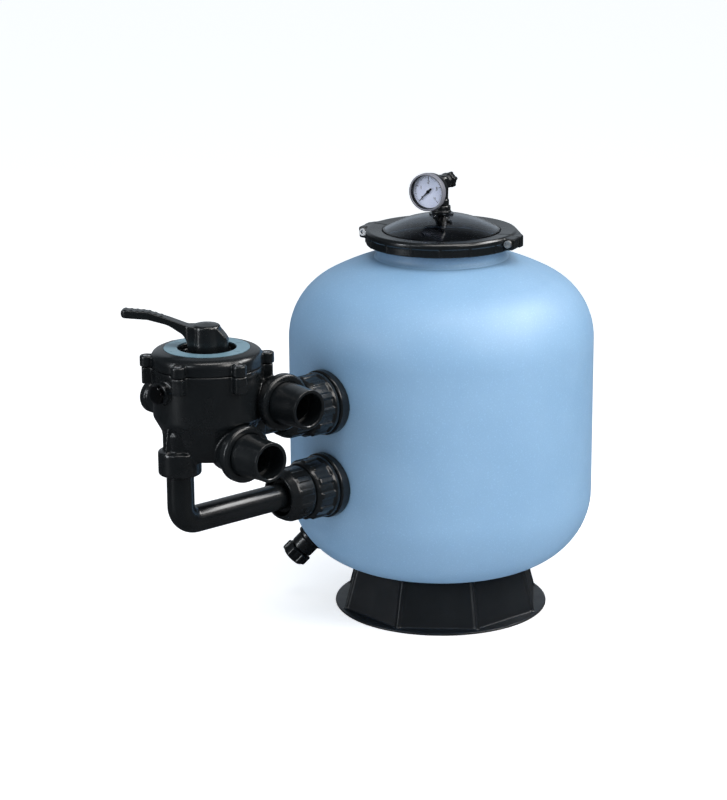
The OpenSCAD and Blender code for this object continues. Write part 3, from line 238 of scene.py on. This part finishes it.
def clear_plastic(name, tint, rough, let_through, rim=0.0):
    """Clear plastic that lets lamp light through; rim is the strength of a pale painted sheen where it is seen
    edge-on.
    """
    s = Shader(name)
    haze = s.span(s.noise(30.0, 4.0, 0.6), 0.35, 0.7, rough, rough * 2.4)
    s.set(Base_Color=tint, Roughness=haze, IOR=1.49, Transmission_Weight=1.0)
    s.links.new(s.bump(s.noise(38.0, 2.0), 0.05 * MM, 1.0), s.bsdf.inputs["Normal"])
    clear = s.nodes.new("ShaderNodeBsdfTransparent")
    clear.inputs["Color"].default_value = (*(c * let_through for c in tint), 1.0)
    # Painted sheen: a pale matt layer where the surface is seen edge-on, standing in for the pale surroundings
    # showing in the rim
    painted_rim_sheen = s.nodes.new("ShaderNodeBsdfDiffuse")
    painted_rim_sheen.inputs["Color"].default_value = (0.62, 0.64, 0.68, 1.0)
    slant = s.nodes.new("ShaderNodeLayerWeight")
    slant.inputs["Blend"].default_value = 0.35
    edge = s.math("MULTIPLY", s.span(slant.outputs["Facing"], 0.84, 0.99), rim)
    body = s.nodes.new("ShaderNodeMixShader")
    s.feed(body.inputs["Fac"], edge)
    s.links.new(s.bsdf.outputs[0], body.inputs[1])
    s.links.new(painted_rim_sheen.outputs[0], body.inputs[2])
    ray = s.nodes.new("ShaderNodeLightPath")
    blend = s.nodes.new("ShaderNodeMixShader")
    s.links.new(ray.outputs["Is Shadow Ray"], blend.inputs["Fac"])
    s.links.new(body.outputs[0], blend.inputs[1])
    s.links.new(clear.outputs[0], blend.inputs[2])
    s.links.new(blend.outputs[0], s.out.inputs["Surface"])
    return s.material


def metal(name, colour, dark, rough):
    """Turned metal with fine tool marks and slight tarnish."""
    s = Shader(name)
    marks = s.noise(1.0, 3.0, 0.6, s.stretch((90.0, 90.0, 900.0)))
    tarnish = s.span(s.noise(120.0, 4.0, 0.6), 0.45, 0.75)
    s.set(Base_Color=s.mix(s.math("MULTIPLY", tarnish, 0.55), colour, dark), Metallic=1.0,
          Roughness=s.span(marks, 0.3, 0.7, rough * 0.75, rough * 1.35))
    s.links.new(s.bump(marks, 0.02 * MM, 0.7, s.soft_edge(0.25 * MM)), s.bsdf.inputs["Normal"])
    return s.material


def rubber():
    """Matt black rubber."""
    s = plastic("rubber", (0.012, 0.012, 0.012), (0.024, 0.023, 0.022), 0.62, grain=1500.0,
                grain_depth=0.03 * MM, wear=0.3)
    return s.material


def dial_white():
    """Printed dial: pale lavender with a very fine grain."""
    s = plastic("dial_white", (0.74, 0.78, 0.92), (0.80, 0.84, 0.97), 0.42, grain=2200.0,
                grain_depth=0.004 * MM, wear=0.0, edge=0.2 * MM, hollows=0.5 * MM)
    return s.material


def label_blue():
    """Label ring round the selector: satin blue."""
    s = plastic("label_blue", (0.15, 0.27, 0.34), (0.20, 0.33, 0.40), 0.30, grain=1600.0,
                grain_depth=0.006 * MM, wear=0.15, edge=0.3 * MM)
    return s.material


MATERIALS = {
    "tank_blue": tank_blue(),
    "black_plastic": plastic("black_plastic", (0.0045, 0.0058, 0.0068), (0.0085, 0.0105, 0.0120), 0.25,
                             waves=0.12 * MM, coat=0.1, wear=0.36).material,
    "black_pipe": pipe_black(),
    "foot_plastic": plastic("foot_plastic", (0.0065, 0.0090, 0.0120), (0.0115, 0.0150, 0.0190), 0.38,
                            grain=700.0, grain_depth=0.04 * MM, waves=0.15 * MM, wear=0.7).material,
    "clear_lid": clear_plastic("clear_lid", (0.42, 0.46, 0.52), 0.03, 0.5, rim=0.85),
    "grey_plastic": plastic("grey_plastic", (0.17, 0.175, 0.21), (0.24, 0.245, 0.28), 0.25, wear=0.2,
                            edge=0.4 * MM).material,
    "clear_lens": clear_plastic("clear_lens", (0.96, 0.97, 1.0), 0.01, 0.95),
    "smoked_glass": clear_plastic("smoked_glass", (0.10, 0.11, 0.13), 0.04, 0.5),
    "dial_white": dial_white(),
    "label_blue": label_blue(),
    "white_plastic": plastic("white_plastic", (0.62, 0.61, 0.57), (0.70, 0.69, 0.66), 0.45,
                             wear=0.1).material,
    "rubber": rubber(),
    "steel": metal("steel", (0.80, 0.81, 0.83), (0.48, 0.46, 0.44), 0.34),
    "brass": metal("brass", (0.66, 0.48, 0.20), (0.34, 0.22, 0.10), 0.30),
    "needle_black": plastic("needle_black", (0.012, 0.012, 0.015), (0.02, 0.02, 0.025), 0.45).material,
}


def dress(obj, slot):
    """Gives an object its slot's material."""
    obj.data.materials.clear()
    obj.data.materials.append(MATERIALS[slot])


# ---------------------------------------------------------------- pieces from CAD nodes

def welded(mesh):
    """A copy of a CAD mesh with its split corners joined, so that it is one closed surface."""
    copy = mesh.copy()
    shape = bmesh.new()
    shape.from_mesh(copy)
    bmesh.ops.remove_doubles(shape, verts=shape.verts, dist=0.004 * MM)
    shape.to_mesh(copy)
    shape.free()
    return copy


def baked(obj):
    """Applies an object's modifiers to its own mesh."""
    graph = bpy.context.evaluated_depsgraph_get()
    mesh = bpy.data.meshes.new_from_object(obj.evaluated_get(graph))
    obj.modifiers.clear()
    obj.data = mesh


def moulded(node, voxel, passes):
    """A moulded version of a CAD node: the same shape with its corners and joins rounded in real geometry."""
    piece = bpy.data.objects.new(f"{node}_moulded", welded(NODES[node].data))
    bpy.context.scene.collection.objects.link(piece)
    remesh = piece.modifiers.new("remesh", "REMESH")
    remesh.mode = "VOXEL"
    remesh.voxel_size = voxel
    smooth = piece.modifiers.new("smooth", "SMOOTH")
    smooth.factor = 0.5
    smooth.iterations = passes
    baked(piece)
    piece.data.shade_smooth()
    dress(piece, SLOT_OF[node])
    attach(piece, BODY_OF[node])
    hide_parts(node)


for name, node in NODES.items():
    dress(node, SLOT_OF[name])

# Nodes that get a moulded version, with the voxel size and the number of smoothing passes
MOULDED = {
    "valve_body": (1.5 * MM, 5),
    "valve_cover": (1.1 * MM, 4),
    "valve_handle": (0.8 * MM, 10),
    "foot_base": (1.6 * MM, 3),
    "flange_washers": (0.9 * MM, 3),
    "pump_port_nut": (0.8 * MM, 3),
    "return_port_nut": (0.8 * MM, 3),
    "clamp_front": (0.9 * MM, 5),
    "clamp_rear": (0.9 * MM, 5),
    "lock_nuts": (1.1 * MM, 4),
    "upper_union_nut": (0.9 * MM, 4),
    "lower_union_nut": (0.9 * MM, 4),
    "drain_cap": (0.5 * MM, 4),
    "drain_body": (0.6 * MM, 3),
    "vent_knob": (0.4 * MM, 4),
    "gauge_tee": (0.5 * MM, 5),
    "gauge_lock_nut": (0.4 * MM, 3),
}
for name, (voxel, passes) in MOULDED.items():
    moulded(name, voxel, passes)


def spring_that_shortens():
    """The valve's spring: a copy of the CAD coil with its own mesh, riding on the spring's body in place of the
    node.
    """
    node = NODES["rotor_spring"]
    coil = bpy.data.objects.new("rotor_spring_coil", node.data.copy())
    bpy.context.scene.collection.objects.link(coil)
    dress(coil, SLOT_OF["rotor_spring"])
    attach(coil, BODY_OF["rotor_spring"])
    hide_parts("rotor_spring")
    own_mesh(coil)


spring_that_shortens()


# ---------------------------------------------------------------- marks on the gauge's dial

# The seven strokes of a digit, from x0, y0 to x1, y1 on a cell one wide and two high
STROKES = {"a": (0, 2, 1, 2), "b": (1, 1, 1, 2), "c": (1, 0, 1, 1), "d": (0, 0, 1, 0), "e": (0, 0, 0, 1),
           "f": (0, 1, 0, 2), "g": (0, 1, 1, 1)}
# Which strokes make the digits 0 to 4
DIGITS = ["abcdef", "bc", "abged", "abgcd", "fgbc"]
# The dial's scale: its steps, steps per middle tick and per digit, first angle and sweep in degrees,
# and outer radius
STEPS = 40
STEPS_PER_MIDDLE = 5
STEPS_PER_DIGIT = 10
FIRST_ANGLE = 225
SWEEP = 270
SCALE_R = 24.2 * MM
# Inner radius and width of the long, middle and short ticks
LONG_TICK = (19.8 * MM, 1.0 * MM)
MIDDLE_TICK = (20.8 * MM, 0.6 * MM)
SHORT_TICK = (21.8 * MM, 0.4 * MM)
# Radius of the ring of digits, half a digit's height, and its stroke's width
DIGIT_R = 15.4 * MM
DIGIT_CELL = 2.3 * MM
DIGIT_STROKE = 0.75 * MM
# Gap under the ink and its thickness
INK_GAP = 0.05 * MM
INK = 0.06 * MM


def dial_marks():
    """Scale ticks and the numbers 0 to 4, as thin printed shapes on the dial's face."""
    hinge = JOINTS["needle_turn"]
    pivot, out = Vector(hinge["pos_m"]), Vector(hinge["axis"]).normalized()
    up = Vector((0, 0, 1))
    side = up.cross(out)
    face = max((v.co - pivot).dot(out) for v in NODES["gauge_dial"].data.vertices) + INK_GAP
    shape = bmesh.new()

    def stroke(x0, y0, x1, y1, width):
        along = Vector((x1 - x0, y1 - y0)).normalized() * width / 2
        across = Vector((-along.y, along.x))
        corners = [(x0, y0, -1, -1), (x1, y1, 1, -1), (x1, y1, 1, 1), (x0, y0, -1, 1)]
        ring = []
        for x, y, i, j in corners:
            px, py = Vector((x, y)) + along * i + across * j
            ring.append(shape.verts.new(pivot + out * face + side * px + up * py))
        top = shape.faces.new(ring)
        lifted = bmesh.ops.extrude_face_region(shape, geom=[top])["geom"]
        bmesh.ops.translate(shape, vec=out * INK,
                            verts=[v for v in lifted if isinstance(v, bmesh.types.BMVert)])

    for i in range(STEPS + 1):
        angle = math.radians(FIRST_ANGLE - SWEEP * i / STEPS)
        c, s = math.cos(angle), math.sin(angle)
        long = i % STEPS_PER_DIGIT == 0
        inner, width = LONG_TICK if long else MIDDLE_TICK if i % STEPS_PER_MIDDLE == 0 else SHORT_TICK
        stroke(inner * c, inner * s, SCALE_R * c, SCALE_R * s, width)
        if long:
            left, low = DIGIT_R * c - DIGIT_CELL / 2, DIGIT_R * s - DIGIT_CELL
            for name in DIGITS[i // STEPS_PER_DIGIT]:
                x0, y0, x1, y1 = (DIGIT_CELL * v for v in STROKES[name])
                stroke(left + x0, low + y0, left + x1, low + y1, DIGIT_STROKE)
    bmesh.ops.recalc_face_normals(shape, faces=shape.faces)
    mesh = bpy.data.meshes.new("dial_marks")
    shape.to_mesh(mesh)
    shape.free()
    piece = bpy.data.objects.new("dial_marks", mesh)
    bpy.context.scene.collection.objects.link(piece)
    ink = plastic("dial_ink", (0.04, 0.045, 0.08), (0.06, 0.065, 0.11), 0.5, wear=0.0, edge=0.05 * MM)
    mesh.materials.append(ink.material)
    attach(piece, BODY_OF["gauge_dial"])


dial_marks()


# ---------------------------------------------------------------- stage, light, camera

# Half the floor's side in metres, and how much it glows to the camera
FLOOR_REACH = 30.0
FLOOR_GLOW = 0.62


def floor():
    """A pale floor, which shiny surfaces see as dark so that they keep their contrast."""
    mesh = bpy.data.meshes.new("floor")
    r = FLOOR_REACH
    mesh.from_pydata([(-r, -r, 0), (r, -r, 0), (r, r, 0), (-r, r, 0)], [], [(0, 1, 2, 3)])
    plane = bpy.data.objects.new("floor", mesh)
    bpy.context.scene.collection.objects.link(plane)
    s = Shader("floor")
    grain = s.span(s.noise(60.0, 4.0), 0.3, 0.7, 0.0, 1.0)
    pale = s.mix(grain, (0.87, 0.865, 0.865), (0.89, 0.885, 0.885))
    ray = s.nodes.new("ShaderNodeLightPath")
    s.set(Base_Color=s.mix(ray.outputs["Is Glossy Ray"], pale, (0.05, 0.052, 0.055)), Roughness=0.6,
          Specular_IOR_Level=0.2, Emission_Color=(1.0, 1.0, 1.0),
          Emission_Strength=s.math("MULTIPLY", ray.outputs["Is Camera Ray"], FLOOR_GLOW))
    mesh.materials.append(s.material)


# Where the lamps point
LAMP_TARGET = Vector((-0.1, 0, 0.4))


def direction(azimuth, elevation):
    """The unit vector at an azimuth and an elevation in degrees."""
    a, e = math.radians(azimuth), math.radians(elevation)
    return Vector((math.cos(a) * math.cos(e), math.sin(a) * math.cos(e), math.sin(e)))


def softbox(name, azimuth, elevation, distance, size, power, colour=(1, 1, 1), shine_only=False):
    """A rectangular lamp. With shine_only it shows in reflections and lights no matt surface."""
    lamp = bpy.data.lights.new(name, "AREA")
    lamp.shape = "RECTANGLE"
    lamp.size, lamp.size_y = size
    lamp.energy = power
    lamp.color = colour
    obj = bpy.data.objects.new(name, lamp)
    obj.location = LAMP_TARGET + distance * direction(azimuth, elevation)
    obj.rotation_euler = (LAMP_TARGET - obj.location).to_track_quat("-Z", "Y").to_euler()
    obj.visible_diffuse = not shine_only
    bpy.context.scene.collection.objects.link(obj)


# The room's strength for matt surfaces, for shiny ones away from the pale wall and towards it, and for
# the camera. Then the pale wall's azimuth and elevation
ROOM_LIGHT = 0.46
ROOM_GLOSS = 0.07
BACK_GLOSS = 0.42
BACKDROP = 1.1
BACK_PANEL = (52, 18)


def world_light():
    """The room: soft light for matt surfaces, a dim room with one pale wall for shiny ones."""
    world = bpy.data.worlds.new("studio")
    bpy.context.scene.world = world
    world.use_nodes = True
    nodes, links = world.node_tree.nodes, world.node_tree.links
    background = nodes["Background"]
    ray = nodes.new("ShaderNodeLightPath")
    place = nodes.new("ShaderNodeTexCoord")
    facing = nodes.new("ShaderNodeVectorMath")
    facing.operation = "DOT_PRODUCT"
    links.new(place.outputs["Generated"], facing.inputs[0])
    facing.inputs[1].default_value = direction(*BACK_PANEL)
    # What shiny surfaces see: brighter within a cone about the pale wall's direction
    wall = nodes.new("ShaderNodeMapRange")
    wall.interpolation_type = "SMOOTHSTEP"
    links.new(facing.outputs["Value"], wall.inputs["Value"])
    for socket, value in zip(wall.inputs[1:5], (0.72, 0.98, ROOM_GLOSS, BACK_GLOSS)):
        socket.default_value = value
    strength = nodes.new("ShaderNodeMapRange")
    links.new(ray.outputs["Is Glossy Ray"], strength.inputs["Value"])
    strength.inputs["To Min"].default_value = ROOM_LIGHT
    links.new(wall.outputs[0], strength.inputs["To Max"])
    # The camera sees a plain pale backdrop above the floor's horizon
    backdrop = nodes.new("ShaderNodeMapRange")
    links.new(ray.outputs["Is Camera Ray"], backdrop.inputs["Value"])
    links.new(strength.outputs[0], backdrop.inputs["To Min"])
    backdrop.inputs["To Max"].default_value = BACKDROP
    links.new(backdrop.outputs[0], background.inputs["Strength"])
    background.inputs["Color"].default_value = (0.86, 0.95, 1.04, 1.0)


def camera():
    """The viewpoint: where it stands, how it is turned, and its lens."""
    place = Vector((-2.758, -2.958, 1.464))
    heading, drop, roll = math.radians(48.82), math.radians(15.41), math.radians(-0.37)
    forward = Vector((math.cos(heading) * math.cos(drop), math.sin(heading) * math.cos(drop),
                      -math.sin(drop)))
    right = Vector((math.sin(heading), -math.cos(heading), 0))
    up = right.cross(forward)
    right, up = (right * math.cos(roll) + up * math.sin(roll), up * math.cos(roll) - right * math.sin(roll))
    data = bpy.data.cameras.new("camera")
    data.lens = 114.06
    data.sensor_width = 36
    data.clip_end = 100
    obj = bpy.data.objects.new("camera", data)
    bpy.context.scene.collection.objects.link(obj)
    turn = Matrix((right, up, -forward)).transposed()
    obj.matrix_world = Matrix.Translation(place) @ turn.to_4x4()
    bpy.context.scene.camera = obj


floor()
world_light()
# Each lamp's azimuth, elevation, distance, size and power in watts
softbox("key", 279, 34, 2.6, (1.5, 1.3), 35, colour=(1.0, 0.96, 0.92))
softbox("overhead", 245, 68, 2.6, (2.2, 0.55), 26, colour=(1.0, 0.98, 0.96))
softbox("right_strip", 328, 41, 2.4, (0.45, 1.0), 6, colour=(1.0, 0.94, 0.90))
softbox("right_shine", 322, 44, 2.4, (1.1, 0.9), 32, shine_only=True)
softbox("left_fill", 188, 24, 2.6, (0.6, 0.6), 6, colour=(0.90, 0.96, 1.0))
softbox("left_shine", 166, 14, 2.8, (0.4, 1.8), 26, colour=(0.92, 0.96, 1.0),
        shine_only=True)
camera()
bpy.context.scene.view_settings.view_transform = "Standard"
